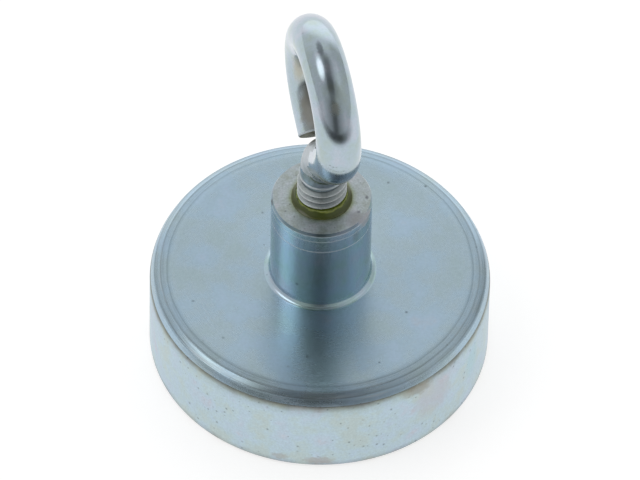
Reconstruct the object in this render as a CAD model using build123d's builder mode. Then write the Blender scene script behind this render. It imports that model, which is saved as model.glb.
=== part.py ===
from build123d import *
from math import radians, tan
import os

# A round pot magnet with a wire hook screwed into the boss on its back.
# All sizes are in millimetres. The origin is the centre of the holding face,
# +Z runs up the axis through the boss, and the hook bends forward, towards -Y.

# The turned steel pot and its boss
pot_diameter = 20.0
pot_height = 6.2
boss_diameter = 5.9
boss_rise = 6.5
boss_fillet = 0.35
boss_edge_chamfer = 0.08
foot_chamfer = 0.2

# The pot's shoulder, from the flat turned face out to the side wall
land_width = 0.45
land_drop = 0.03
crown_width = 0.38
crown_drop = 0.25
shoulder_width = 0.22
shoulder_drop = 0.49

# The cup under the pot, with the magnet disc and its ring of cast resin
pot_wall = 1.4
resin_gap = 0.6
magnet_thickness = 4.3
magnet_edge_chamfer = 0.2
resin_inset = 0.15
cup_mouth_chamfer = 0.15

# The thread that joins hook and boss, and the crest lost when it is rolled on wire
thread_diameter = 3.0
thread_pitch = 0.5
crest_loss = 0.05

# The threaded bore in the boss, drawn at the size of its tapping drill
bore_depth = 5.8
drill_point_angle = 118.0
bore_mouth_margin = 0.33
bore_mouth_angle = 90.0

# The wire hook and its threaded end, drawn at the core of the thread
wire_diameter = 2.6
bore_clearance = 0.05
thread_length = 7.2
thread_end_chamfer = 0.35
shank_end_chamfer = 0.1
shank_rise = 2.15
bend_radius = 3.4
bend_angle = 45.0
bend_to_eye = 2.75
eye_radius = 3.71
eye_turn = 284.0
eye_lean = 2.2
tip_straight = 1.35
tip_edge_chamfer = 0.12

# The ring of thread locker round the hook where it leaves the boss
locker_climb = 0.42
locker_bulge = 0.06

# Places worked out from the sizes above
pot_radius = pot_diameter / 2
boss_radius = boss_diameter / 2
boss_top = pot_height + boss_rise
shoulder_radius = pot_radius - shoulder_width
crown_radius = shoulder_radius - crown_width
flat_radius = crown_radius - land_width
crown_height = pot_height - land_drop
shoulder_height = crown_height - crown_drop
wall_height = shoulder_height - shoulder_drop
cup_radius = pot_radius - pot_wall
magnet_radius = cup_radius - resin_gap
bore_radius = (thread_diameter - thread_pitch) / 2
crest_radius = thread_diameter / 2 - crest_loss
mouth_radius = crest_radius + bore_mouth_margin
mouth_depth = (mouth_radius - bore_radius) / tan(radians(bore_mouth_angle / 2))
drill_point = bore_radius / tan(radians(drill_point_angle / 2))
wire_radius = wire_diameter / 2
core_radius = bore_radius - bore_clearance
shank_start = boss_top + shank_rise

os.makedirs("parts", exist_ok=True)


# Steel pot and boss, turned from one bar: half of its section, spun about the axis
with BuildPart() as pot_body:
    with BuildSketch(Plane.XZ):
        with BuildLine():
            base = Polyline(
                (0, magnet_thickness),
                (cup_radius, magnet_thickness),
                (cup_radius, 0),
                (pot_radius, 0),
                (pot_radius, wall_height),
            )
            Polyline(
                base @ 1,
                (shoulder_radius, shoulder_height),
                (crown_radius, crown_height),
                (flat_radius, pot_height),
                (boss_radius, pot_height),
                (boss_radius, boss_top),
                (0, boss_top),
                (0, magnet_thickness),
            )
        make_face()
    revolve(axis=Axis.Z)
    circles = pot_body.edges().filter_by(GeomType.CIRCLE)
    boss_foot = circles.filter_by(lambda e: abs(e.radius - boss_radius) < 1e-6).sort_by(Axis.Z)[0]
    fillet(boss_foot, radius=boss_fillet)
    circles = pot_body.edges().filter_by(GeomType.CIRCLE)
    chamfer(circles.sort_by(Axis.Z)[-1], length=boss_edge_chamfer)
    rims = pot_body.edges().filter_by(GeomType.CIRCLE).group_by(Axis.Z)[0].sort_by(SortBy.RADIUS)
    chamfer(rims[-1], length=foot_chamfer)
    chamfer(rims[0], length=cup_mouth_chamfer)
    with Locations((0, 0, boss_top)):
        CounterSinkHole(
            radius=bore_radius,
            counter_sink_radius=mouth_radius,
            depth=bore_depth,
            counter_sink_angle=bore_mouth_angle,
        )
    with Locations((0, 0, boss_top - bore_depth)):
        Cone(
            bottom_radius=0,
            top_radius=bore_radius,
            height=drill_point,
            align=(Align.CENTER, Align.CENTER, Align.MAX),
            mode=Mode.SUBTRACT,
        )
pot_body.part.label = "pot_body"
export_step(pot_body.part, "parts/pot_body.step")


# Hard ferrite disc, seated on the floor of the cup and flush with the pot's rim
with BuildPart() as magnet_disc:
    with BuildSketch():
        Circle(magnet_radius)
    extrude(amount=magnet_thickness)
    chamfer(magnet_disc.edges().group_by(Axis.Z)[0], length=magnet_edge_chamfer)
magnet_disc.part.label = "magnet_disc"
export_step(magnet_disc.part, "parts/magnet_disc.step")


# Cast resin between the disc and the wall of the cup, a little below the rim
with BuildPart() as filler_ring:
    with BuildSketch(Plane.XY.offset(magnet_edge_chamfer + resin_inset)):
        Circle(cup_radius)
        Circle(magnet_radius, mode=Mode.SUBTRACT)
    extrude(amount=magnet_thickness - magnet_edge_chamfer - resin_inset)
filler_ring.part.label = "filler_ring"
export_step(filler_ring.part, "parts/filler_ring.step")


# Centreline of the bent wire: up the axis, forward in the first bend, straight on,
# and then back over the top in the eye, whose plane leans over a little about the straight
bend_plane = Plane(origin=(0, 0, shank_start), x_dir=(0, -1, 0), z_dir=(-1, 0, 0))
with BuildLine(bend_plane) as bend_line:
    first_bend = JernArc(start=(0, 0), tangent=(0, 1), radius=bend_radius, arc_size=-bend_angle)
    riser = PolarLine(first_bend @ 1, length=bend_to_eye, direction=first_bend % 1)
eye_start = bend_line.line @ 1
eye_way = bend_line.line % 1
eye_axis = bend_plane.z_dir.rotate(Axis(eye_start, eye_way), eye_lean)
eye_plane = Plane(origin=eye_start, x_dir=eye_way, z_dir=eye_axis)
with BuildLine(eye_plane) as eye_line:
    eye = JernArc(start=(0, 0), tangent=(1, 0), radius=eye_radius, arc_size=eye_turn)
    tip = PolarLine(eye @ 1, length=tip_straight, direction=eye % 1)
with BuildLine() as hook_line:
    add(bend_line.line)
    add(eye_line.line)

# Screw hook: the round wire swept along that line, with the threaded end below the shank
with BuildPart() as screw_hook:
    with BuildSketch(Plane.XY.offset(shank_start)):
        Circle(wire_radius)
    sweep(path=hook_line.wire())
    tip_end = hook_line.wire() @ 1
    tip_face = screw_hook.faces().filter_by(GeomType.PLANE).sort_by_distance(tip_end)[0]
    chamfer(tip_face.edges(), length=tip_edge_chamfer)
    shank_edge = screw_hook.edges().filter_by(GeomType.CIRCLE).sort_by(Axis.Z)[0]
    chamfer(shank_edge, length=shank_end_chamfer)
    with BuildSketch(Plane.XY.offset(shank_start)):
        Circle(core_radius)
    extrude(amount=-thread_length)
    thread_end = screw_hook.edges().filter_by(GeomType.CIRCLE).sort_by(Axis.Z)[0]
    chamfer(thread_end, length=thread_end_chamfer)
screw_hook.part.label = "screw_hook"
export_step(screw_hook.part, "parts/screw_hook.step")


# Thread locker: it fills the mouth of the bore and climbs the thread as a small collar
with BuildPart() as thread_locker:
    with BuildSketch(Plane.XZ):
        with BuildLine():
            seat = Polyline(
                (core_radius, boss_top + locker_climb),
                (core_radius, boss_top - mouth_depth),
                (bore_radius, boss_top - mouth_depth),
                (mouth_radius, boss_top),
            )
            collar = SagittaArc(seat @ 1, (crest_radius, boss_top + locker_climb), -locker_bulge)
            Line(collar @ 1, seat @ 0)
        make_face()
    revolve(axis=Axis.Z)
thread_locker.part.label = "thread_locker"
export_step(thread_locker.part, "parts/thread_locker.step")
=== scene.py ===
# %% [markdown]
# # A pot magnet with a wire hook
#
# The object is a turned steel pot with a hard magnet in its open side, a boss on
# its back, and a bent wire hook screwed into the boss with a drop of thread locker.
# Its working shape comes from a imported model, the frame. This lesson gives it the
# look of zinc plate: blue-grey, turned, glossy on the boss and matt on the wall.
#
# Everything is in metres, with the holding face on the floor and Z up the axis.

# %% Load the frame
from math import cos, radians, sin, tan, tau

import bpy
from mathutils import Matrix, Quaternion, Vector


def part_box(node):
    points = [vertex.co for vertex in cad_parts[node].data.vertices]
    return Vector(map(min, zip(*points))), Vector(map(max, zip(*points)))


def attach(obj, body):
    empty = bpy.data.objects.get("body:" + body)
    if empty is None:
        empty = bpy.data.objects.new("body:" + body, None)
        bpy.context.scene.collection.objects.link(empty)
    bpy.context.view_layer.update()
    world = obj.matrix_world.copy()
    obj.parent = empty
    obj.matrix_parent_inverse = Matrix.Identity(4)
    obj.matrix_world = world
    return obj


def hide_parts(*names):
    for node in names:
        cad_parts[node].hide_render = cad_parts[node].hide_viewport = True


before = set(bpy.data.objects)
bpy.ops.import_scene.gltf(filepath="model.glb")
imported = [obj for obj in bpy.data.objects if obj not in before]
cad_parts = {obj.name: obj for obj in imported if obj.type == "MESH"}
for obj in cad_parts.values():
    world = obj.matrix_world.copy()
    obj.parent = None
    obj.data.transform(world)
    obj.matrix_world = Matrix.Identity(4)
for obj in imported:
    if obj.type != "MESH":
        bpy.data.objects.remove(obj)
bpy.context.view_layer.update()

mm = 0.001
print("nodes:", sorted(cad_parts))

# %% [markdown]
# ## The camera
#
# The photograph looks down on the magnet with a long lens, from the left of the
# hook. The camera is placed on a line out from the middle of the holding face, and
# aimed a little above that point, so that the whole object sits in the picture.

# %% Camera
camera_azimuth = radians(-13.65)
camera_elevation = radians(50.77)
camera_roll = radians(1.282)
camera_distance = 600 * mm
lens_length = 570.65
aim_right = -0.047 * mm
aim_up = 5.595 * mm

to_right = Vector((cos(camera_azimuth), sin(camera_azimuth), 0))
to_front = Vector((sin(camera_azimuth), -cos(camera_azimuth), 0))
to_camera = to_front * cos(camera_elevation) + Vector((0, 0, sin(camera_elevation)))
picture_up = to_camera.cross(to_right)

camera_data = bpy.data.cameras.new("photo_camera")
camera_data.lens = lens_length
camera = bpy.data.objects.new("photo_camera", camera_data)
bpy.context.scene.collection.objects.link(camera)
camera.location = to_camera * camera_distance
aim = to_right * aim_right + picture_up * aim_up
camera.rotation_mode = "QUATERNION"
looking = (aim - camera.location).to_track_quat("-Z", "Y")
camera.rotation_quaternion = looking @ Quaternion((0, 0, 1), camera_roll)
bpy.context.scene.camera = camera
print("camera at, in mm:", [round(v / mm, 1) for v in camera.location])

# %% [markdown]
# ## Tools for colours and nodes
#
# Colours are written as the hex values a painter would pick on a screen, and one
# function turns them into the linear values that light is added up in. Another
# small function adds a node, sets it and links it, so that a material reads as a
# list of what it is made of.

# %% Colour and node tools
def linear(hex_colour):
    """Turn an sRGB hex colour into linear red, green, blue and a full alpha."""
    parts = [int(hex_colour[i : i + 2], 16) / 255 for i in (1, 3, 5)]
    curve = [v / 12.92 if v <= 0.04045 else ((v + 0.055) / 1.055) ** 2.4 for v in parts]
    return (*curve, 1.0)


def add_node(tree, kind, sockets=None, stops=None, **settings):
    """Add a node. Sockets take values or other nodes' outputs, and a ramp takes stops."""
    node = tree.nodes.new(kind)
    for setting, value in settings.items():
        setattr(node, setting, value)
    for socket, value in (sockets or {}).items():
        if isinstance(value, bpy.types.NodeSocket):
            tree.links.new(value, node.inputs[socket])
        else:
            node.inputs[socket].default_value = value
    for number, (place, colour) in enumerate(stops or []):
        ramp = node.color_ramp.elements
        stop = ramp[number] if number < 2 else ramp.new(place)
        stop.position = place
        stop.color = colour
    return node


def per(size):
    """Give the scale that makes a pattern's features this many millimetres long."""
    return 1 / (size * mm)


print("mid grey is linear", round(linear("#808080")[0], 3))

# %% [markdown]
# ## The studio
#
# Metal shows what stands round it. Here that is a white tent: bright to the left,
# where the softbox is, and dim towards the camera, whose own side lies in shade.
# That dim side draws the dark stripe down the front of the boss and its mirror
# image on the turned face, so it gets the most care: curves set how bright it is by
# how far sideways one looks. Seen by the camera itself, the tent is plain white. A
# picture of a real studio could do this too, but nodes can be tuned wall by wall.

# %% Tent light
bpy.context.scene.view_settings.view_transform = "Standard"
left_level = 0.81
right_level = 0.58
skyline_level = 1.40
softbox_level = 1.2
softbox_azimuth = camera_azimuth - radians(85)
softbox_elevation = radians(57)
softbox_spread = radians(19)

# Where the right wall, the wall behind and the shaded side start and become full,
# measured along a look of length one
right_wall = (0.15, 0.55)
back_wall = (-0.66, -0.92)
shaded_wall = (-0.60, -0.15)

# The shaded side: how bright it is by how far sideways one looks, over the table,
# halfway up and high up, and then where the low and the high parts are
low_side = [(0.0, 0.13), (0.12, 0.14), (0.24, 0.27), (0.45, 0.40), (0.80, 0.64)]
middle_side = [(0.0, 0.23), (0.12, 0.23), (0.24, 0.37), (0.45, 0.61), (0.80, 0.84)]
high_side = [(0.0, 0.14), (0.20, 0.15), (0.30, 0.34), (0.45, 0.44), (0.80, 0.60)]
low_place = [(0.58, 1.0), (0.72, 0.0)]
high_place = [(0.10, 0.0), (0.28, 1.0), (0.50, 1.0), (0.62, 0.0)]

world = bpy.data.worlds.new("white_tent")
bpy.context.scene.world = world
world.use_nodes = True
tree = world.node_tree
tree.nodes.clear()
look = add_node(tree, "ShaderNodeTexCoord").outputs["Generated"]
across = add_node(tree, "ShaderNodeVectorMath", {0: look, 1: to_right}, operation="DOT_PRODUCT")
rightward = across.outputs["Value"]
along = add_node(tree, "ShaderNodeVectorMath", {0: look, 1: to_front}, operation="DOT_PRODUCT")
forward = along.outputs["Value"]
sideways = add_node(tree, "ShaderNodeMath", {0: rightward}, operation="ABSOLUTE").outputs[0]
upward = add_node(tree, "ShaderNodeSeparateXYZ", {0: look}).outputs["Z"]
print("darkest of the shaded side:", min(level for place, level in low_side))

# %% Walls of the tent
walls = add_node(
    tree,
    "ShaderNodeMapRange",
    {
        "Value": rightward,
        "From Min": right_wall[0],
        "From Max": right_wall[1],
        "To Min": left_level,
        "To Max": right_level,
    },
    interpolation_type="SMOOTHSTEP",
)
behind = add_node(
    tree,
    "ShaderNodeMapRange",
    {"Value": forward, "From Min": back_wall[0], "From Max": back_wall[1]},
    interpolation_type="SMOOTHSTEP",
)
back = add_node(
    tree, "ShaderNodeMix", {"Factor": behind.outputs[0], "A": walls.outputs[0], "B": skyline_level}
)
shades = []
for fac, curve in (
    (sideways, low_side),
    (sideways, middle_side),
    (sideways, high_side),
    (upward, low_place),
    (forward, high_place),
):
    stops = [(place, (level, level, level, 1)) for place, level in curve]
    shades.append(add_node(tree, "ShaderNodeValToRGB", {"Fac": fac}, stops=stops).outputs["Color"])
low, middle, high, low_share, high_share = shades
lower = add_node(tree, "ShaderNodeMix", {"Factor": low_share, "A": middle, "B": low})
side = add_node(tree, "ShaderNodeMix", {"Factor": high_share, "A": lower.outputs[0], "B": high})
front = add_node(
    tree,
    "ShaderNodeMapRange",
    {"Value": forward, "From Min": shaded_wall[0], "From Max": shaded_wall[1]},
    interpolation_type="SMOOTHSTEP",
)
tent = add_node(
    tree,
    "ShaderNodeMix",
    {"Factor": front.outputs[0], "A": back.outputs[0], "B": side.outputs[0]},
)
print("nodes in the walls:", len(tree.nodes))

# %% Softbox and white backdrop
to_softbox = Vector(
    (
        sin(softbox_azimuth) * cos(softbox_elevation),
        -cos(softbox_azimuth) * cos(softbox_elevation),
        sin(softbox_elevation),
    )
)
near_box = add_node(tree, "ShaderNodeVectorMath", {0: look, 1: to_softbox}, operation="DOT_PRODUCT")
softbox = add_node(
    tree,
    "ShaderNodeMapRange",
    {
        "Value": near_box.outputs["Value"],
        "From Min": cos(softbox_spread),
        "From Max": cos(softbox_spread / 3),
        "To Max": softbox_level,
    },
    interpolation_type="SMOOTHSTEP",
)
light = add_node(tree, "ShaderNodeMath", {0: tent.outputs[0], 1: softbox.outputs[0]}, operation="ADD")
seen = add_node(tree, "ShaderNodeLightPath").outputs["Is Camera Ray"]
level = add_node(tree, "ShaderNodeMix", {"Factor": seen, "A": light.outputs[0], "B": 1.0})
backdrop = add_node(
    tree, "ShaderNodeBackground", {"Color": (1, 1, 1, 1), "Strength": level.outputs[0]}
)
add_node(tree, "ShaderNodeOutputWorld", {"Surface": backdrop.outputs[0]})
print("tent levels, left, right and behind:", left_level, right_level, skyline_level)

# %% [markdown]
# ## The floor
#
# A sheet of white paper. It is a ring, because a hole hidden under the pot lets the
# tent light the holding face too, and from below it is see-through. The paper's own
# colour is a little under white, and a faint glow that only the camera and the
# metal see lifts it to white, so that the object's soft shadow stays.

# %% Tools for meshes
def start_clean():
    """Leave edit mode and deselect everything, so that the next tool acts on one piece."""
    if bpy.context.mode != "OBJECT":
        bpy.ops.object.mode_set(mode="OBJECT")
    bpy.ops.object.select_all(action="DESELECT")


def close_piece(name):
    """Leave edit mode, name the new piece and put its place into its mesh."""
    bpy.ops.object.mode_set(mode="OBJECT")
    piece = bpy.context.active_object
    piece.name = piece.data.name = name
    bpy.ops.object.transform_apply(location=True, rotation=True, scale=True)
    print(name, "has", len(piece.data.polygons), "faces")
    return piece


# %% Floor
floor_radius = 1.5
floor_drop = 0.02 * mm
floor_hole = 9.7 * mm
paper_white = 0.55
paper_lift = 0.71

start_clean()
bpy.ops.mesh.primitive_circle_add(vertices=128, radius=floor_hole, location=(0, 0, -floor_drop))
bpy.ops.object.mode_set(mode="EDIT")
grow = floor_radius / floor_hole
bpy.ops.mesh.extrude_edges_move()
bpy.ops.transform.resize(value=(grow, grow, 1))
bpy.ops.mesh.select_all(action="SELECT")
bpy.ops.mesh.flip_normals()
floor = close_piece("paper_floor")
print("floor faces up:", floor.data.polygons[0].normal.z > 0)

paper = bpy.data.materials.new("white_paper")
paper.use_nodes = True
tree = paper.node_tree
tree.nodes.clear()
path = add_node(tree, "ShaderNodeLightPath").outputs
mirrored = add_node(
    tree,
    "ShaderNodeMath",
    {0: path["Is Glossy Ray"], 1: path["Is Transmission Ray"]},
    operation="MAXIMUM",
)
lifted = add_node(
    tree, "ShaderNodeMath", {0: path["Is Camera Ray"], 1: mirrored.outputs[0]}, operation="MAXIMUM"
)
glow_level = add_node(
    tree, "ShaderNodeMath", {0: lifted.outputs[0], 1: paper_lift}, operation="MULTIPLY"
)
sheet = add_node(tree, "ShaderNodeBsdfDiffuse", {"Color": (paper_white, paper_white, paper_white, 1)})
glow = add_node(tree, "ShaderNodeEmission", {"Strength": glow_level.outputs[0]})
both = add_node(tree, "ShaderNodeAddShader", {0: sheet.outputs[0], 1: glow.outputs[0]})
below = add_node(tree, "ShaderNodeNewGeometry").outputs["Backfacing"]
clear = add_node(tree, "ShaderNodeMath", {0: below, 1: path["Is Camera Ray"]}, operation="MULTIPLY")
glass = add_node(tree, "ShaderNodeBsdfTransparent")
shown = add_node(
    tree, "ShaderNodeMixShader", {0: clear.outputs[0], 1: both.outputs[0], 2: glass.outputs[0]}
)
add_node(tree, "ShaderNodeOutputMaterial", {"Surface": shown.outputs[0]})
floor.data.materials.append(paper)

# %% [markdown]
# Two pieces of dark felt show only in reflections, and darken them on the camera's
# side, as the dark room in front of the table does. One lies on the paper some way
# out. The other is a low strip on edge round the front of the pot, which the steep
# edge of the rim mirrors. Lamps could be dimmed instead, but felt darkens only what
# mirrors it.

# %% Felt that fades in
felt_grey = 0.13
full_share = 0.95


def from_axis(tree, place):
    """Give the way from the upright axis out to a place, and how far out it lies."""
    flat = add_node(tree, "ShaderNodeVectorMath", {0: place, 1: (1, 1, 0)}, operation="MULTIPLY")
    out = add_node(tree, "ShaderNodeVectorMath", {0: flat.outputs[0]}, operation="LENGTH")
    return flat.outputs[0], out.outputs["Value"]


def dark_felt(name, front_share, near, full):
    """Make felt that fades in from that share of the way to the front, and outwards."""
    felt = bpy.data.materials.new(name)
    felt.use_nodes = True
    tree = felt.node_tree
    tree.nodes.clear()
    place = add_node(tree, "ShaderNodeTexCoord").outputs["Object"]
    flat, radius = from_axis(tree, place)
    heading = add_node(tree, "ShaderNodeVectorMath", {0: flat}, operation="NORMALIZE")
    facing = add_node(
        tree, "ShaderNodeVectorMath", {0: heading.outputs[0], 1: to_front}, operation="DOT_PRODUCT"
    )
    by_side = add_node(
        tree,
        "ShaderNodeMapRange",
        {"Value": facing.outputs["Value"], "From Min": front_share, "From Max": full_share},
    )
    by_depth = add_node(
        tree,
        "ShaderNodeMapRange",
        {"Value": radius, "From Min": near, "From Max": full},
        interpolation_type="SMOOTHSTEP",
    )
    share = add_node(
        tree, "ShaderNodeMath", {0: by_side.outputs[0], 1: by_depth.outputs[0]}, operation="MULTIPLY"
    )
    cloth = add_node(tree, "ShaderNodeBsdfDiffuse", {"Color": (felt_grey, felt_grey, felt_grey, 1)})
    glass = add_node(tree, "ShaderNodeBsdfTransparent")
    shown = add_node(
        tree, "ShaderNodeMixShader", {0: share.outputs[0], 1: glass.outputs[0], 2: cloth.outputs[0]}
    )
    add_node(tree, "ShaderNodeOutputMaterial", {"Surface": shown.outputs[0]})
    return felt


def show_in_mirrors_only(piece):
    """Hide a piece from the camera, soft light, shadows and transmission, so it shows only in mirrors.
    """
    piece.visible_camera = False
    piece.visible_diffuse = False
    piece.visible_shadow = False
    piece.visible_transmission = False


print("the felt's linear grey:", felt_grey)

# %% Lay the felt
sheet_share = 0.10
sheet_near = 60 * mm
sheet_full = 120 * mm
sheet_far = 1400 * mm
strip_share = 0.45
strip_radius = 12 * mm
strip_foot = 5.1 * mm
strip_top = 5.8 * mm

start_clean()
bpy.ops.mesh.primitive_circle_add(vertices=96, radius=sheet_near, location=(0, 0, floor_drop))
bpy.ops.object.mode_set(mode="EDIT")
grow = sheet_far / sheet_near
bpy.ops.mesh.extrude_edges_move()
bpy.ops.transform.resize(value=(grow, grow, 1))
felt_sheet = close_piece("felt_sheet")
felt_sheet.data.materials.append(dark_felt("felt_on_paper", sheet_share, sheet_near, sheet_full))
show_in_mirrors_only(felt_sheet)

start_clean()
bpy.ops.mesh.primitive_circle_add(vertices=96, radius=strip_radius, location=(0, 0, strip_foot))
bpy.ops.object.mode_set(mode="EDIT")
bpy.ops.mesh.extrude_edges_move(TRANSFORM_OT_translate={"value": (0, 0, strip_top - strip_foot)})
felt_strip = close_piece("felt_strip")
felt_strip.data.materials.append(dark_felt("felt_on_edge", strip_share, 0, strip_radius / 2))
show_in_mirrors_only(felt_strip)

# %% [markdown]
# ## The pot
#
# The pot and its boss were turned from one bar, so half of the section is drawn as
# a chain of edges and spun about the axis, as the lathe did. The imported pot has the
# right form, but its facets are too coarse for a glossy boss, and its rim lacks the
# fine ridges that the turning tool left. The new pot carries them.

# %% Tools for turned pieces
weld = 0.0005 * mm


def draw_chain(points):
    """Draw a chain of edges through points of radius and height, in the XZ plane."""
    start_clean()

    # A small plane is merged into one corner, from which the chain grows
    bpy.ops.mesh.primitive_plane_add(size=mm)
    bpy.ops.object.mode_set(mode="EDIT")
    bpy.ops.mesh.select_mode(type="VERT")
    bpy.ops.mesh.merge(type="CENTER")
    here = Vector((points[0][0] * mm, 0, points[0][1] * mm))
    bpy.ops.transform.translate(value=here)
    for radius, height in points[1:]:
        there = Vector((radius * mm, 0, height * mm))
        bpy.ops.mesh.extrude_vertices_move(TRANSFORM_OT_translate={"value": there - here})
        here = there


def round_corner(radius, height, cut, segments=4):
    """Round the chain's corner at that radius and height, starting a cut away from it."""
    bpy.ops.mesh.select_all(action="DESELECT")
    bpy.ops.object.mode_set(mode="OBJECT")
    corner = Vector((radius * mm, 0, height * mm))
    for vertex in bpy.context.active_object.data.vertices:
        vertex.select = (vertex.co - corner).length < 2 * weld
    bpy.ops.object.mode_set(mode="EDIT")
    bpy.ops.mesh.bevel(offset=cut * mm, segments=segments, affect="VERTICES")


def ripples(start, end, heights):
    """Give points along a turned facet that stand off it by these heights, in millimetres."""
    way = Vector(end) - Vector(start)
    out = Vector((-way.y, way.x)).normalized()
    steps = len(heights) + 1
    return [tuple(Vector(start) + way * n / steps + out * heights[n - 1]) for n in range(1, steps)]


def spin_chain(steps=256):
    """Spin the chain all the way round the Z axis and close it into one skin."""
    bpy.ops.mesh.select_all(action="SELECT")
    bpy.ops.mesh.spin(steps=steps, angle=tau, center=(0, 0, 0), axis=(0, 0, 1))
    bpy.ops.mesh.select_all(action="SELECT")
    bpy.ops.mesh.remove_doubles(threshold=weld)
    bpy.ops.mesh.normals_make_consistent(inside=False)


print("corners closer than this are merged, in mm:", round(weld / mm, 4))

# %% Pot outline
pot_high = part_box("pot_body")[1]
magnet_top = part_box("magnet_disc")[1].z / mm
pot_radius = pot_high.x / mm
boss_top = pot_high.z / mm
pot_height = 6.2
boss_radius = 2.95
boss_fillet = 0.35
boss_edge = (2.85, boss_top)
boss_edge_drop = 0.17
bore_radius = 1.25
bore_depth = 5.8
drill_angle = radians(118)
bore_floor = boss_top - bore_depth
bore_point = bore_floor - bore_radius / tan(drill_angle / 2)
mouth_radius = 1.78
mouth_depth = mouth_radius - bore_radius
cup_radius = 8.6
foot_chamfer = 0.2
mouth_chamfer = 0.15
flat_end = (8.20, pot_height)
flat_fall = (8.60, pot_height - 0.004)
flat_edge = (8.95, pot_height - 0.014)
crown = (9.40, pot_height - 0.07)
shoulder = (9.78, pot_height - 0.28)
wall_top = (pot_radius, pot_height - 0.77)
wall_foot = (pot_radius, foot_chamfer)
boss_foot = (boss_radius, pot_height)

# How far from each corner its rounding starts, and the angle that still looks smooth
crown_cut = 0.05
shoulder_cut = 0.07
wall_top_cut = 0.12
wall_foot_cut = 0.08
pot_smooth = radians(20)

# How far the lathe's fine ridges stand off each facet of the rim
land_ridges = (-0.004, 0.002, -0.005, 0.003, -0.003)
crown_ridges = (0.003, -0.005, 0.003, -0.003)
print("width of the flat face in mm:", round(flat_edge[0] - boss_radius - boss_fillet, 2))

# %% Turn the pot
draw_chain(
    [
        (0, bore_point),
        (bore_radius, bore_floor),
        (bore_radius, boss_top - mouth_depth),
        (mouth_radius, boss_top),
        boss_edge,
        (boss_radius, boss_top - boss_edge_drop),
        boss_foot,
        flat_end,
        flat_fall,
        flat_edge,
        *ripples(flat_edge, crown, land_ridges),
        crown,
        *ripples(crown, shoulder, crown_ridges),
        shoulder,
        wall_top,
        wall_foot,
        (pot_radius - foot_chamfer, 0),
        (cup_radius + mouth_chamfer, 0),
        (cup_radius, mouth_chamfer),
        (cup_radius, magnet_top),
        (0, magnet_top),
    ]
)
round_corner(*boss_foot, boss_fillet, segments=10)
round_corner(*crown, crown_cut)
round_corner(*shoulder, shoulder_cut, segments=5)
round_corner(*wall_top, wall_top_cut, segments=5)
round_corner(*wall_foot, wall_foot_cut)
spin_chain()
pot = close_piece("turned_pot")
bpy.ops.object.shade_smooth_by_angle(angle=pot_smooth)
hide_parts("pot_body")
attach(pot, "root")

# %% [markdown]
# ## Zinc plate
#
# The steel carries a bright zinc plate with a clear blue passivation. Zinc reflects
# like a bluish grey metal, and the passivation film adds faint clouds of green and
# lilac. How sharp it reflects depends on the surface below: finely turned on the
# face, smoother on the boss, rough where the bar was parted off, and dull on the
# wall, which kept the skin of the drawn bar. A photograph of real plate could be
# wrapped round the pot, but patterns worked out from places in space have no seams
# and any size. So every finish starts from one recipe: clouds of tint, a fine grain,
# dark pits and a bump.

# %% Empty finish
def start_finish(name):
    """Start a material with an empty node tree."""
    material = bpy.data.materials.new(name)
    material.use_nodes = True
    material.node_tree.nodes.clear()
    return material, material.node_tree


print("materials so far:", [m.name for m in bpy.data.materials])

# %% Zinc recipe
# Noise mostly stays between these two values, and the tints are spread over its middle
noise_low = 0.3
noise_high = 0.7
first_tint = 0.37
tint_step = 0.09
pit_tone = 0.45
rough_swing = 0.12
across_grooves = 0.25


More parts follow.
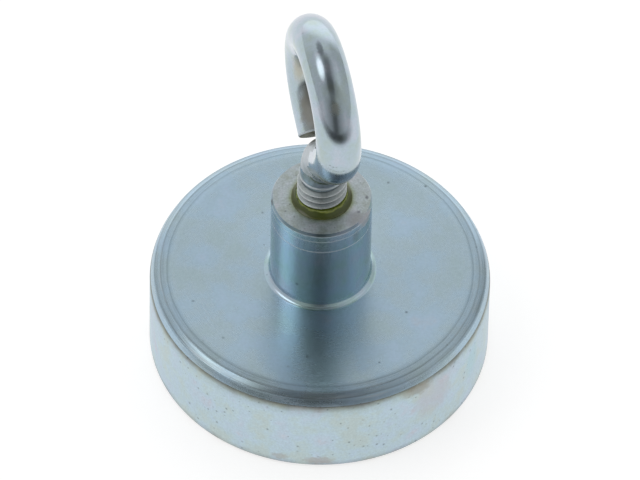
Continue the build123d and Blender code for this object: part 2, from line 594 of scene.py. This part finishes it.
def zinc_finish(
    name, tints, roughness, cloud, grain, grain_height, mottle, pits, pit_size, turned=0.0, spread=0.0
):
    """Make a zinc plate. Tints run from low to high cloud, and sizes are in millimetres.

    Turned is the spacing of grooves round the axis, and spread smears what it mirrors
    across them, as fine turning does.
    """
    material, tree = start_finish(name)
    place = add_node(tree, "ShaderNodeTexCoord").outputs["Object"]
    clouds = add_node(
        tree,
        "ShaderNodeTexNoise",
        {"Vector": place, "Scale": per(cloud), "Detail": 4.0, "Roughness": 0.62},
    )
    tint = add_node(
        tree,
        "ShaderNodeValToRGB",
        {"Fac": clouds.outputs["Fac"]},
        stops=[(first_tint + tint_step * n, linear(tone)) for n, tone in enumerate(tints)],
    )
    fine = add_node(
        tree,
        "ShaderNodeTexNoise",
        {"Vector": place, "Scale": per(grain), "Detail": 3.0, "Roughness": 0.6},
    )
    shade = add_node(
        tree,
        "ShaderNodeMapRange",
        {
            "Value": fine.outputs["Fac"],
            "From Min": noise_low,
            "From Max": noise_high,
            "To Min": 1 - mottle,
            "To Max": 1 + mottle,
        },
    )
    cells = add_node(tree, "ShaderNodeTexVoronoi", {"Vector": place, "Scale": per(pits)})
    chosen = add_node(tree, "ShaderNodeSeparateColor", {0: cells.outputs["Color"]})
    size = add_node(
        tree, "ShaderNodeMath", {0: chosen.outputs[0], 1: pit_size / pits}, operation="MULTIPLY"
    )
    pit = add_node(
        tree,
        "ShaderNodeMapRange",
        {
            "Value": cells.outputs["Distance"],
            "From Min": size.outputs[0],
            "From Max": 0.0,
            "To Min": 1.0,
            "To Max": pit_tone,
        },
        interpolation_type="SMOOTHSTEP",
    )
    worn = add_node(
        tree, "ShaderNodeMath", {0: shade.outputs[0], 1: pit.outputs[0]}, operation="MULTIPLY"
    )
    colour = add_node(
        tree,
        "ShaderNodeVectorMath",
        {0: tint.outputs["Color"], "Scale": worn.outputs[0]},
        operation="SCALE",
    )
    height = fine.outputs["Fac"]
    if turned:
        grooves = add_node(
            tree,
            "ShaderNodeTexNoise",
            {"W": from_axis(tree, place)[1], "Scale": per(turned), "Detail": 3.0, "Roughness": 0.7},
            noise_dimensions="1D",
        )
        both = add_node(tree, "ShaderNodeMath", {0: height, 1: grooves.outputs["Fac"]}, operation="ADD")
        height = both.outputs[0]
    bump = add_node(tree, "ShaderNodeBump", {"Height": height, "Distance": grain_height * mm})
    rough = add_node(
        tree,
        "ShaderNodeMapRange",
        {
            "Value": clouds.outputs["Fac"],
            "From Min": noise_low,
            "From Max": noise_high,
            "To Min": roughness * (1 - rough_swing),
            "To Max": roughness * (1 + rough_swing),
        },
    )
    surface = add_node(
        tree,
        "ShaderNodeBsdfPrincipled",
        {
            "Base Color": colour.outputs[0],
            "Metallic": 1.0,
            "Roughness": rough.outputs[0],
            "Normal": bump.outputs[0],
            "Anisotropic": spread,
            "Anisotropic Rotation": across_grooves,
        },
        name="surface",
    )
    if spread:
        around = add_node(tree, "ShaderNodeTangent", direction_type="RADIAL", axis="Z")
        tree.links.new(around.outputs[0], surface.inputs["Tangent"])
    add_node(tree, "ShaderNodeOutputMaterial", {"Surface": surface.outputs[0]})
    return material


print("pits are this much of the plate's brightness:", pit_tone)

# %% [markdown]
# Further tools lay what happened later over a finish, and some of their uses are painted
# light. Rings shade it by radius or by height, as a film does on a turned piece, and some
# rings are painted shade. A scratch ring and lathe lines are marks of the tool, and the
# light lathe lines are partly a painted highlight. A stain lies round one point; a few
# such patches are painted shade, painted highlight and painted reflection rather than
# stains. All of them wander a little, since nothing on a real piece runs quite true.

# %% Cover a finish
def cover(material, tone, share, dull=0.0):
    """Lay a tone over a finish by a share, and dull the finish there by that much."""
    tree = material.node_tree
    surface = tree.nodes["surface"]
    under = surface.inputs["Base Color"].links[0].from_socket
    mixed = add_node(tree, "ShaderNodeMix", {"Factor": share, 6: under, 7: tone}, data_type="RGBA")
    tree.links.new(mixed.outputs[2], surface.inputs["Base Color"])
    if dull:
        sharp = surface.inputs["Roughness"].links[0].from_socket
        duller = add_node(
            tree, "ShaderNodeMath", {0: share, 1: dull, 2: sharp}, operation="MULTIPLY_ADD"
        )
        tree.links.new(duller.outputs[0], surface.inputs["Roughness"])


def wander(tree, place, size, reach):
    """Move a pattern's places about by up to a reach, over waves of a size, in millimetres.

    The noise seldom leaves its middle by more than a quarter, hence the four.
    """
    noise = add_node(tree, "ShaderNodeTexNoise", {"Vector": place, "Scale": per(size), "Detail": 4.0})
    shift = add_node(
        tree,
        "ShaderNodeVectorMath",
        {0: noise.outputs["Color"], 1: (0.5, 0.5, 0.5)},
        operation="SUBTRACT",
    )
    moved = add_node(
        tree,
        "ShaderNodeVectorMath",
        {0: shift.outputs[0], 1: (4 * reach * mm,) * 3, 2: place},
        operation="MULTIPLY_ADD",
    )
    return moved.outputs[0]


print("clouds of 3 mm have the scale", round(per(3.0), 1))

# %% Rings
def ring_tones(tree, way, tones, wave=1.0, reach=0.0):
    """Lay tones out along the height or the radius, in millimetres, with wandering edges."""
    place = add_node(tree, "ShaderNodeTexCoord").outputs["Object"]
    place = wander(tree, place, wave, reach)
    if way == "radius":
        value = from_axis(tree, place)[1]
    else:
        value = add_node(tree, "ShaderNodeSeparateXYZ", {0: place}).outputs["Z"]
    first, last = tones[0][0], tones[-1][0]
    share = add_node(
        tree, "ShaderNodeMapRange", {"Value": value, "From Min": first * mm, "From Max": last * mm}
    )
    stops = [((at - first) / (last - first), linear(tone)) for at, tone in tones]
    return add_node(tree, "ShaderNodeValToRGB", {"Fac": share.outputs[0]}, stops=stops)


def ring_shade(material, way, tones, wave=1.0, reach=0.0):
    """Multiply a finish by tones laid out along its height or radius."""
    tree = material.node_tree
    surface = tree.nodes["surface"]
    tone = ring_tones(tree, way, tones, wave, reach)
    under = surface.inputs["Base Color"].links[0].from_socket
    shaded = add_node(
        tree, "ShaderNodeVectorMath", {0: under, 1: tone.outputs["Color"]}, operation="MULTIPLY"
    )
    tree.links.new(shaded.outputs[0], surface.inputs["Base Color"])


scratch_tone = linear("#D2DADE")


def scratch_ring(material, height, width, strength, dull):
    """Dull a thin ring at a height, as a tool's scratch does, with a wandering strength."""
    tree = material.node_tree
    steps = [(height - width, "#000000"), (height, "#FFFFFF"), (height + width, "#000000")]
    line = ring_tones(tree, "height", steps, wave=1.5, reach=0.008)
    share = add_node(
        tree, "ShaderNodeMath", {0: line.outputs["Color"], 1: strength}, operation="MULTIPLY"
    )
    cover(material, scratch_tone, share.outputs[0], dull)


print("scratches are linear", [round(v, 2) for v in scratch_tone[:3]])

# %% Lathe lines and painted sheen
line_start = 0.50
line_full = 0.68


def lathe_lines_and_sheen(material, width, length, tone, reach, dull=0.0):
    """Lay ragged lines round the axis. Reach gives their strength along the radius."""
    tree = material.node_tree
    place = add_node(tree, "ShaderNodeTexCoord").outputs["Object"]
    flat, radius = from_axis(tree, place)
    heading = add_node(tree, "ShaderNodeVectorMath", {0: flat}, operation="NORMALIZE")
    across = add_node(tree, "ShaderNodeMath", {0: radius, 1: per(width)}, operation="MULTIPLY")
    lift = add_node(tree, "ShaderNodeCombineXYZ", {"Z": across.outputs[0]})
    around = pot_radius / length
    stretched = add_node(
        tree,
        "ShaderNodeVectorMath",
        {0: heading.outputs[0], 1: (around, around, around), 2: lift.outputs[0]},
        operation="MULTIPLY_ADD",
    )
    lines = add_node(
        tree,
        "ShaderNodeTexNoise",
        {"Vector": stretched.outputs[0], "Scale": 1.0, "Detail": 3.0, "Roughness": 0.6},
    )
    drawn = add_node(
        tree,
        "ShaderNodeMapRange",
        {"Value": lines.outputs["Fac"], "From Min": line_start, "From Max": line_full},
        interpolation_type="SMOOTHSTEP",
    )
    share = add_node(
        tree,
        "ShaderNodeMath",
        {0: drawn.outputs[0], 1: ring_tones(tree, "radius", reach).outputs["Color"]},
        operation="MULTIPLY",
    )
    cover(material, linear(tone), share.outputs[0], dull)


print("lines cover noise above:", line_start)

# %% Stains and painted patches
stain_core = 0.35
stain_wave = 0.6


def stain_and_painted_light(material, centre, reach, tone, strength=0.6, dull=0.0, ragged=0.35):
    """Lay a ragged patch round a point: mostly a stain, at a few calls painted light. Its reach is
    along X, Y and Z, in millimetres.
    """
    tree = material.node_tree
    place = add_node(tree, "ShaderNodeTexCoord").outputs["Object"]
    smallest = min(reach)
    place = wander(tree, place, smallest * stain_wave, smallest * ragged)
    middle = tuple(v * mm for v in centre)
    apart = add_node(tree, "ShaderNodeVectorMath", {0: place, 1: middle}, operation="SUBTRACT")
    scaled = add_node(
        tree,
        "ShaderNodeVectorMath",
        {0: apart.outputs[0], 1: tuple(1 / (v * mm) for v in reach)},
        operation="MULTIPLY",
    )
    far = add_node(tree, "ShaderNodeVectorMath", {0: scaled.outputs[0]}, operation="LENGTH")
    share = add_node(
        tree,
        "ShaderNodeMapRange",
        {"Value": far.outputs["Value"], "From Min": 1.0, "From Max": stain_core, "To Max": strength},
        interpolation_type="SMOOTHSTEP",
    )
    cover(material, linear(tone), share.outputs[0], dull)


print("a stain is full out to this share of its reach:", stain_core)

# %% Turned face
# Finely turned steel keeps its grooves under the plate, so it shines in a fan across
# them. The real grooves are under 0.05 mm apart, and are drawn coarser so they show.
face_zinc = zinc_finish(
    "zinc_turned_face",
    tints=("#A9BEC6", "#ABC0CC", "#A9C1D1", "#ACC3D6", "#B2C2D1"),
    roughness=0.27,
    cloud=3.0,
    grain=0.16,
    grain_height=0.0003,
    mottle=0.045,
    pits=1.1,
    pit_size=0.17,
    turned=0.11,
    spread=0.7,
)

# Tones by radius: the plate is a little darker where the rim's facets meet
rim_rings = [
    (8.80, "#FFFFFF"),
    (8.92, "#F0F1F1"),
    (8.98, "#D8DADA"),
    (9.05, "#FAFAFA"),
    (9.28, "#F4F4F4"),
    (9.36, "#D6D4D1"),
    (9.43, "#FFFFFF"),
    (9.64, "#F2F1EF"),
    (9.69, "#DAD7D4"),
    (9.75, "#FFFFFF"),
]
ring_shade(face_zinc, "radius", rim_rings, wave=2.5, reach=0.03)

# How strong the dark and the light lathe lines are, by radius
dark_reach = [
    (6.5, "#000000"),
    (8.7, "#2C2C2C"),
    (9.0, "#808080"),
    (9.7, "#A0A0A0"),
    (9.8, "#505050"),
]
# The light lines are tool marks and partly painted highlight: pale arcs that stand in for the turned
# face's sheen
light_line_and_sheen_reach = [
    (3.3, "#202020"),
    (5.0, "#585858"),
    (8.9, "#606060"),
    (9.3, "#606060"),
    (9.5, "#C0C0C0"),
    (9.8, "#C0C0C0"),
]
lathe_lines_and_sheen(face_zinc, 0.07, 3.5, "#6C787E", dark_reach)
# Painted highlight in part: these light, duller lines stand in for the sheen of the turning
lathe_lines_and_sheen(face_zinc, 0.09, 2.6, "#B8C4CC", light_line_and_sheen_reach, dull=0.25)
print("nodes in the face's finish:", len(face_zinc.node_tree.nodes))

# %% Boss
# The boss was turned finer still, so it mirrors its surroundings almost sharply.
boss_zinc = zinc_finish(
    "zinc_turned_boss",
    tints=("#ACC8C8", "#B2CCD2", "#B4CAD8", "#BAC8D6"),
    roughness=0.19,
    cloud=1.8,
    grain=0.12,
    grain_height=0.0003,
    mottle=0.03,
    pits=1.3,
    pit_size=0.10,
    spread=0.5,
)

# Tones by height: painted shade that darkens the broken edge at the top all round
edge_shade_tones = [(12.48, "#FFFFFF"), (12.56, "#B0B4B8"), (12.70, "#B0B4B8")]
ring_shade(boss_zinc, "height", edge_shade_tones, wave=1.0, reach=0.015)

# Three scratch rings, by height, half width and strength
for height, width, strength in ((12.50, 0.07, 0.5), (12.06, 0.06, 0.5), (11.15, 0.06, 0.8)):
    scratch_ring(boss_zinc, height, width, strength, dull=0.30)

# A dull patch on the right below the edge, a weaker one under it, a small pit, and painted shade on the
# left of the top edge
stain_and_painted_light(boss_zinc, (2.2, -1.95, 12.4), (0.9, 0.9, 0.60), "#A5A4A6", 0.75, dull=0.30)
stain_and_painted_light(boss_zinc, (1.5, -2.55, 11.7), (0.35, 0.4, 0.8), "#8C958A", 0.45)
stain_and_painted_light(boss_zinc, (-1.91, -2.24, 7.85), (0.13, 0.13, 0.09), "#35464E", 0.8)
# Painted shade: a dark spot that dims the left of the top edge, where the edge would catch light
stain_and_painted_light(boss_zinc, (-2.9, 0.3, 12.55), (0.3, 0.3, 0.2), "#4A4C50", 0.8)
print("nodes in the boss's finish:", len(boss_zinc.node_tree.nodes))

# %% Parted face
# The top of the boss was cut from the bar by a parting tool, which tears the steel,
# so it looks grainy. A thin film of thread locker greens it round the bore.
parted_zinc = zinc_finish(
    "zinc_parted_face",
    tints=("#A6AFAC", "#AEB8B9", "#B6C0C4", "#BEC4CA"),
    roughness=0.46,
    cloud=0.8,
    grain=0.12,
    grain_height=0.010,
    mottle=0.15,
    pits=0.45,
    pit_size=0.13,
)
locker_film = [(1.74, "#C6CA98"), (1.81, "#D8DBBC"), (1.92, "#EEF0E4"), (2.10, "#FFFFFF")]
ring_shade(parted_zinc, "radius", locker_film, wave=0.5, reach=0.07)

# Two pits, and the grey patch that runs over from the boss's dull side
stain_and_painted_light(parted_zinc, (1.86, -1.59, 12.7), (0.16, 0.12, 0.1), "#62646C", 0.7)
stain_and_painted_light(parted_zinc, (2.55, -0.6, 12.7), (0.14, 0.2, 0.1), "#6A6C72", 0.7)
stain_and_painted_light(parted_zinc, (1.6, -2.1, 12.7), (0.95, 0.8, 0.5), "#8C8A92", 0.55)
print("nodes in the parted face's finish:", len(parted_zinc.node_tree.nodes))

# %% Wall
# The side wall kept the pitted skin of the drawn bar, which plates matt and cloudy.
wall_zinc = zinc_finish(
    "zinc_bar_skin",
    tints=("#BAC9C9", "#BACDD3", "#BBCEDA", "#BFCCD8", "#C8C8D0"),
    roughness=0.42,
    cloud=1.9,
    grain=0.13,
    grain_height=0.006,
    mottle=0.08,
    pits=0.42,
    pit_size=0.13,
)

# Tones by height: brownish and darker at the foot and just below the rim, plain plate between them
wall_bands = [
    (0.0, "#A89890"),
    (0.12, "#C4B6AE"),
    (0.28, "#E8E4E2"),
    (0.60, "#FFFFFF"),
    (4.60, "#FFFFFF"),
    (5.05, "#F2F2F0"),
    (5.25, "#D8D4CC"),
    (5.41, "#C0B8AC"),
    (5.52, "#A8A096"),
]
ring_shade(wall_zinc, "height", wall_bands, wave=1.2, reach=0.12)

# A lilac and a blue-green cloud on the right, and brown film by the rim and the foot
stain_and_painted_light(wall_zinc, (4.9, -8.7, 3.6), (1.9, 1.6, 2.2), "#BBB6B9", 0.45)
stain_and_painted_light(wall_zinc, (7.7, -6.3, 3.4), (0.9, 1.2, 1.8), "#A4CAD4", 0.45)
stain_and_painted_light(wall_zinc, (3.8, -9.2, 5.1), (1.5, 0.9, 0.6), "#8C8272", 0.55)
stain_and_painted_light(wall_zinc, (-2.2, -9.7, 0.6), (1.3, 0.6, 0.45), "#A6988A", 0.5)
stain_and_painted_light(wall_zinc, (-4.4, -9.0, 0.7), (0.7, 0.7, 0.35), "#A09284", 0.4)
print("nodes in the wall's finish:", len(wall_zinc.node_tree.nodes))

# %% Scratched plate and painted highlight
# Where a tool bruised the plate it scatters light like a powder. So it is less of a
# mirror than clean metal: rough, pale and only partly metallic. Being pale and partly
# diffuse, it is also a painted highlight: on the tip's bevel and the lip it makes thin
# light lines where the plain shape would mirror dark.
scratched_and_highlight_metallic = 0.6
scratched_zinc_and_highlight = zinc_finish(
    "zinc_scratched_and_highlight",
    tints=("#C0CACC", "#C8D0D4", "#CED6DC"),
    roughness=0.50,
    cloud=0.9,
    grain=0.10,
    grain_height=0.003,
    mottle=0.10,
    pits=0.8,
    pit_size=0.05,
)
scratched_zinc_and_highlight.node_tree.nodes["surface"].inputs["Metallic"].default_value = scratched_and_highlight_metallic
print("nodes in the scratched plate:", len(scratched_zinc_and_highlight.node_tree.nodes))

# %% Finish each part of the pot
on_face, on_boss, on_parted, on_wall = range(4)

# The parted face is a thin layer at the very top, the boss starts just inside the
# foot of its fillet, and the wall's skin ends on the round at the wall's top
parted_depth = 0.01
foot_inset = 0.02
skin_climb = 0.12
for finish in (face_zinc, boss_zinc, parted_zinc, wall_zinc):
    pot.data.materials.append(finish)
for face in pot.data.polygons:
    x, y, z = face.center / mm
    radius = (x * x + y * y) ** 0.5
    if z > boss_top - parted_depth:
        face.material_index = on_parted
    elif radius < boss_radius + boss_fillet - foot_inset and z > pot_height:
        face.material_index = on_boss
    elif z < wall_top[1] + skin_climb:
        face.material_index = on_wall
    else:
        face.material_index = on_face
print("finishes on the pot:", [m.name for m in pot.data.materials])

# %% [markdown]
# ## The wire hook
#
# The hook is one length of round wire, bent cold round two pins. A curve with a round
# profile could draw it too. Here one circle is carried along the wire, as the bending
# went: spun through the first bend, pulled straight, spun round the eye, whose plane
# leans over a little, and pulled straight once more. Its rings stay even all along.

# %% Bend the hook
wire_radius = 1.3 * mm
shank_start = 14.85 * mm
bend_radius = 3.4 * mm
bend_angle = radians(45)
riser_length = 2.75 * mm
eye_radius = 3.71 * mm
eye_turn = radians(284)
eye_lean = radians(2.2)
tip_length = 1.35 * mm
bend_steps = 20
riser_steps = 4
eye_steps = 120
tip_steps = 3

start_clean()
bpy.ops.mesh.primitive_circle_add(vertices=64, radius=wire_radius, location=(0, 0, shank_start))
bpy.ops.object.transform_apply(location=True)
bpy.ops.object.mode_set(mode="EDIT")
bend_centre = Vector((0, -bend_radius, shank_start))
bpy.ops.mesh.spin(steps=bend_steps, angle=-bend_angle, center=bend_centre, axis=(1, 0, 0))
riser_way = Vector((0, -sin(bend_angle), cos(bend_angle)))
bend_end = bend_centre + Vector((0, cos(bend_angle), sin(bend_angle))) * bend_radius
riser_move = riser_way * riser_length / riser_steps
for _ in range(riser_steps):
    bpy.ops.mesh.extrude_edges_move(TRANSFORM_OT_translate={"value": riser_move})
eye_axis = Quaternion(riser_way, eye_lean) @ Vector((-1, 0, 0))
eye_start = bend_end + riser_way * riser_length
eye_centre = eye_start + eye_axis.cross(riser_way) * eye_radius
bpy.ops.mesh.spin(steps=eye_steps, angle=-eye_turn, center=eye_centre, axis=eye_axis)
tip_way = Quaternion(eye_axis, eye_turn) @ riser_way
tip_move = tip_way * tip_length / tip_steps
for _ in range(tip_steps):
    bpy.ops.mesh.extrude_edges_move(TRANSFORM_OT_translate={"value": tip_move})
eye_end = eye_centre + Quaternion(eye_axis, eye_turn) @ (eye_start - eye_centre)
tip_end = eye_end + tip_way * tip_length
print("tip of the hook in mm:", [round(v / mm, 2) for v in tip_end])

# %% Close the hook's ends
tip_chamfer = 0.12 * mm
screw_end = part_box("screw_hook")[0].z / mm
core = 1.20
lip_radius = 1.37
lip_start = 14.95
lip_end = 14.79
hook_smooth = radians(40)

# Radius and height of each ring from the shank down: a small lip of metal that the
# thread rolls pushed up, and then the core of the thread
lip_rings = [(lip_radius, 14.91), (lip_radius, 14.88), (core, 14.80), (core, screw_end)]

# The tip's rim is still selected and is filled, which leaves only the shank's open
bpy.ops.mesh.edge_face_add()
bpy.ops.mesh.bevel(offset=tip_chamfer, segments=3, affect="EDGES")
bpy.ops.mesh.select_all(action="DESELECT")
bpy.ops.mesh.select_mode(type="EDGE")
bpy.ops.mesh.select_non_manifold()
here = (wire_radius / mm, lip_start)
bpy.ops.transform.translate(value=(0, 0, here[1] * mm - shank_start))
for radius, height in lip_rings:
    drop = (0, 0, (height - here[1]) * mm)
    bpy.ops.mesh.extrude_edges_move(TRANSFORM_OT_translate={"value": drop})
    bpy.ops.transform.resize(value=(radius / here[0], radius / here[0], 1))
    here = (radius, height)
bpy.ops.mesh.edge_face_add()
bpy.ops.mesh.select_all(action="SELECT")
bpy.ops.mesh.normals_make_consistent(inside=False)
hook = close_piece("bent_hook")
bpy.ops.object.shade_smooth_by_angle(angle=hook_smooth)
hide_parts("screw_hook")
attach(hook, "root")

# %% [markdown]
# The thread was rolled on the end of the wire, so its crests stand a little proud
# of the shank. A pattern of bumps could fake it, but its outline shows against the
# boss. So one ridge is drawn in section and wound up the core by a screw modifier,
# right-handed, half a millimetre a turn.

# %% Roll the thread
thread_pitch = 0.5
crest_radius = 1.45
crest_width = 0.05
root_width = 0.10
root_sink = 0.03
root_step = 0.01
thread_turns = 9
thread_runout = 0.10
thread_top = shank_start / mm - thread_runout
winding_steps = 96
flank = (thread_pitch - crest_width - root_width) / 2
ridge_low = thread_top - thread_turns * thread_pitch - thread_pitch
draw_chain(
    [
        (core - root_sink, ridge_low),
        (core, ridge_low + root_step),
        (crest_radius, ridge_low + flank),
        (crest_radius, ridge_low + flank + crest_width),
        (core, ridge_low + 2 * flank + crest_width),
        (core - root_sink, ridge_low + 2 * flank + crest_width + root_step),
    ]
)

# The section is closed into a loop of edges, without a face, and then wound up
bpy.ops.mesh.select_all(action="SELECT")
bpy.ops.mesh.edge_face_add()
bpy.ops.mesh.delete(type="ONLY_FACE")
bpy.ops.object.mode_set(mode="OBJECT")
winding = bpy.context.active_object.modifiers.new("winding", "SCREW")
winding.axis = "Z"
winding.angle = tau
winding.screw_offset = thread_pitch * mm
winding.iterations = thread_turns
winding.steps = winding_steps
winding.render_steps = winding_steps
bpy.ops.object.modifier_apply(modifier="winding")

# Its turns are merged where they meet, and its two open ends are filled
bpy.ops.object.mode_set(mode="EDIT")
bpy.ops.mesh.select_all(action="SELECT")
bpy.ops.mesh.remove_doubles(threshold=weld)
bpy.ops.mesh.select_all(action="DESELECT")
bpy.ops.mesh.select_mode(type="EDGE")
bpy.ops.mesh.select_non_manifold()
bpy.ops.mesh.fill_holes(sides=8)
bpy.ops.mesh.select_all(action="SELECT")
bpy.ops.mesh.normals_make_consistent(inside=False)
thread = close_piece("rolled_thread")
bpy.ops.object.shade_smooth_by_angle(angle=hook_smooth)
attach(thread, "root")

# %% Drawn wire
# Drawn through a die, the wire came out smoother than the turned pot, so its plate is
# the glossiest on the object.
wire_zinc = zinc_finish(
    "zinc_drawn_wire",
    tints=("#AAB9B9", "#ACBCC2", "#AFBDC8", "#B7BFCA"),
    roughness=0.15,
    cloud=1.4,
    grain=0.14,
    grain_height=0.0015,
    mottle=0.04,
    pits=0.9,
    pit_size=0.09,
)

# Dull patches by the tip and high on the eye's front, a dark patch on its top that is a
# painted reflection, a pale cream patch inside its back that is a painted highlight, and
# three small nicks side by side on its front
stain_and_painted_light(wire_zinc, (-0.5, 0.9, 19.4), (0.85, 2.0, 2.8), "#928C80", 0.75, dull=0.30, ragged=0.2)
stain_and_painted_light(wire_zinc, (-0.32, -3.97, 25.20), (0.36, 0.50, 0.50), "#A2A69C", 0.65, dull=0.40, ragged=0.4)
# Painted reflection: a dark patch on the eye's top
stain_and_painted_light(wire_zinc, (-0.48, -0.72, 26.80), (0.24, 0.75, 0.40), "#5C666C", 0.7, dull=0.10, ragged=0.2)
# Painted highlight: a pale cream patch inside the eye's back, also dulled
stain_and_painted_light(wire_zinc, (-1.0, 2.2, 22.0), (0.55, 0.7, 1.7), "#BDBAAA", 0.8, dull=0.30, ragged=0.2)
for x, z in ((-0.80, 21.58), (-0.62, 21.50), (-0.45, 21.53)):
    stain_and_painted_light(wire_zinc, (x, -5.15, z), (0.09, 0.2, 0.07), "#6E787C", 0.7)
print("nodes in the wire's finish:", len(wire_zinc.node_tree.nodes))

# %% Rolled thread and sheared end
# The rolled flanks are rough and pale; painted shade darkens them by radius, most of all down in the
# roots.
thread_zinc = zinc_finish(
    "zinc_rolled_thread",
    tints=("#C6CBCB", "#CED4D5", "#D1D7D9", "#D5D8DB"),
    roughness=0.54,
    cloud=0.7,
    grain=0.09,
    grain_height=0.004,
    mottle=0.14,
    pits=0.4,
    pit_size=0.06,
)
# Painted shade by radius: darkest in the roots, full tone on the crests
thread_shade_tones = [(1.20, "#888C8E"), (1.26, "#C8CCCC"), (1.40, "#D9DDDD"), (1.435, "#FFFFFF")]
ring_shade(thread_zinc, "radius", thread_shade_tones)

# The tip was sheared off and took hardly any plate, so its end is dull and brownish.
sheared_zinc = zinc_finish(
    "zinc_sheared_end",
    tints=("#8A8570", "#96907A", "#A29C88"),
    roughness=0.45,
    cloud=0.6,
    grain=0.10,
    grain_height=0.006,
    mottle=0.12,
    pits=0.5,
    pit_size=0.06,
)
print("nodes in the thread's finish:", len(thread_zinc.node_tree.nodes))

# %% Finish each part of the hook
on_wire, on_sheared, on_scratched_and_highlight = range(3)
end_on = 0.9
for finish in (wire_zinc, sheared_zinc, scratched_zinc_and_highlight):
    hook.data.materials.append(finish)
for face in hook.data.polygons:
    past_tip = (face.center - tip_end).dot(tip_way)
    near_tip = (face.center - tip_end).length < 2 * wire_radius
    on_lip = lip_end < face.center.z / mm < lip_start
    face.material_index = on_wire
    # The tip's bevel and the lip take the scratched plate, which there is partly a painted highlight
    if past_tip > -tip_chamfer and near_tip:
        faces_out = face.normal.dot(tip_way) > end_on
        face.material_index = on_sheared if faces_out else on_scratched_and_highlight
    elif on_lip:
        face.material_index = on_scratched_and_highlight
thread.data.materials.append(thread_zinc)
print("finishes on the hook:", [m.name for m in hook.data.materials])

# %% [markdown]
# ## Thread locker
#
# A drop of anaerobic resin, squeezed out of the bore as the hook went in, has set
# as an olive collar round the thread. A soft blob could be sculpted, but the collar
# crept evenly round the thread, so it is drawn in section and spun like the pot.

# %% Locker collar
locker_climb = 0.42
locker_clear = 0.02
locker_foot = boss_top - mouth_depth + locker_clear
locker_smooth = radians(50)

# Radius and height above the boss of the hollow curve from its mouth up to the thread
locker_curve = [(mouth_radius - 0.01, -0.01), (mouth_radius, 0.02), (1.62, 0.10), (1.50, 0.24)]
draw_chain(
    [
        (core, locker_foot),
        (bore_radius, locker_foot),
        *((radius, boss_top + rise) for radius, rise in locker_curve),
        (crest_radius, boss_top + locker_climb),
        (core, boss_top + locker_climb),
        (core, locker_foot),
    ]
)
spin_chain(steps=128)
locker = close_piece("locker_collar")
bpy.ops.object.shade_smooth_by_angle(angle=locker_smooth)
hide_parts("thread_locker")
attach(locker, "root")

# %% Cured resin
# Cured resin is as smooth as glass. Where it is thin, at the thread and at its outer
# edge, the metal shines through it and it looks lighter. The light band just off the
# thread is also a painted highlight.
resin_inner = 1.44 * mm
resin_outer = 1.80 * mm
resin, tree = start_finish("cured_thread_locker")
place = add_node(tree, "ShaderNodeTexCoord").outputs["Object"]
place = wander(tree, place, 0.5, 0.04)
share = add_node(
    tree,
    "ShaderNodeMapRange",
    {"Value": from_axis(tree, place)[1], "From Min": resin_inner, "From Max": resin_outer},
)
tone = add_node(
    tree,
    "ShaderNodeValToRGB",
    {"Fac": share.outputs[0]},
    # The second stop's light band is partly a painted highlight on the hollow by the thread
    stops=[
        (0.0, linear("#6E7A2C")),
        (0.07, linear("#97A24C")),
        (0.16, linear("#4E5A1C")),
        (0.75, linear("#434C18")),
        (1.0, linear("#6A7040")),
    ],
)
surface = add_node(
    tree,
    "ShaderNodeBsdfPrincipled",
    {"Base Color": tone.outputs["Color"], "Roughness": 0.14, "IOR": 1.5},
)
add_node(tree, "ShaderNodeOutputMaterial", {"Surface": surface.outputs[0]})
locker.data.materials.append(resin)
print("nodes in the cured resin:", len(tree.nodes))

# %% [markdown]
# ## Magnet and cast resin
#
# Seen from below, a disc of hard ferrite sits flush in the pot, ground flat and
# charcoal grey, and a ring of dark cast epoxy fills the gap round it. Both have
# simple shapes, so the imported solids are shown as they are, and only get a finish.

# %% Underside finishes
def plain_finish(name, low, high, roughness, grain, grain_height):
    """Make a mottled, non-metallic finish between two tones, with a fine bump."""
    material, tree = start_finish(name)
    place = add_node(tree, "ShaderNodeTexCoord").outputs["Object"]
    fine = add_node(tree, "ShaderNodeTexNoise", {"Vector": place, "Scale": per(grain), "Detail": 5.0})
    tone = add_node(
        tree,
        "ShaderNodeValToRGB",
        {"Fac": fine.outputs["Fac"]},
        stops=[(0.35, linear(low)), (0.65, linear(high))],
    )
    bump = add_node(
        tree, "ShaderNodeBump", {"Height": fine.outputs["Fac"], "Distance": grain_height * mm}
    )
    surface = add_node(
        tree,
        "ShaderNodeBsdfPrincipled",
        {"Base Color": tone.outputs["Color"], "Roughness": roughness, "Normal": bump.outputs[0]},
    )
    add_node(tree, "ShaderNodeOutputMaterial", {"Surface": surface.outputs[0]})
    return material


# Ferrite is a ceramic: dark, fine-grained and only half matt where it was ground.
ferrite = plain_finish("ground_ferrite", "#3A3B3E", "#4C4D50", 0.42, 0.25, 0.006)

# Epoxy set with a smooth skin that waves a little, nearly black with its filler.
epoxy = plain_finish("cast_epoxy", "#1D1D20", "#2A2A2E", 0.35, 0.6, 0.010)
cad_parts["magnet_disc"].material_slots[0].material = ferrite
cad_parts["filler_ring"].material_slots[0].material = epoxy
print("finishes underneath:", ferrite.name, "and", epoxy.name)
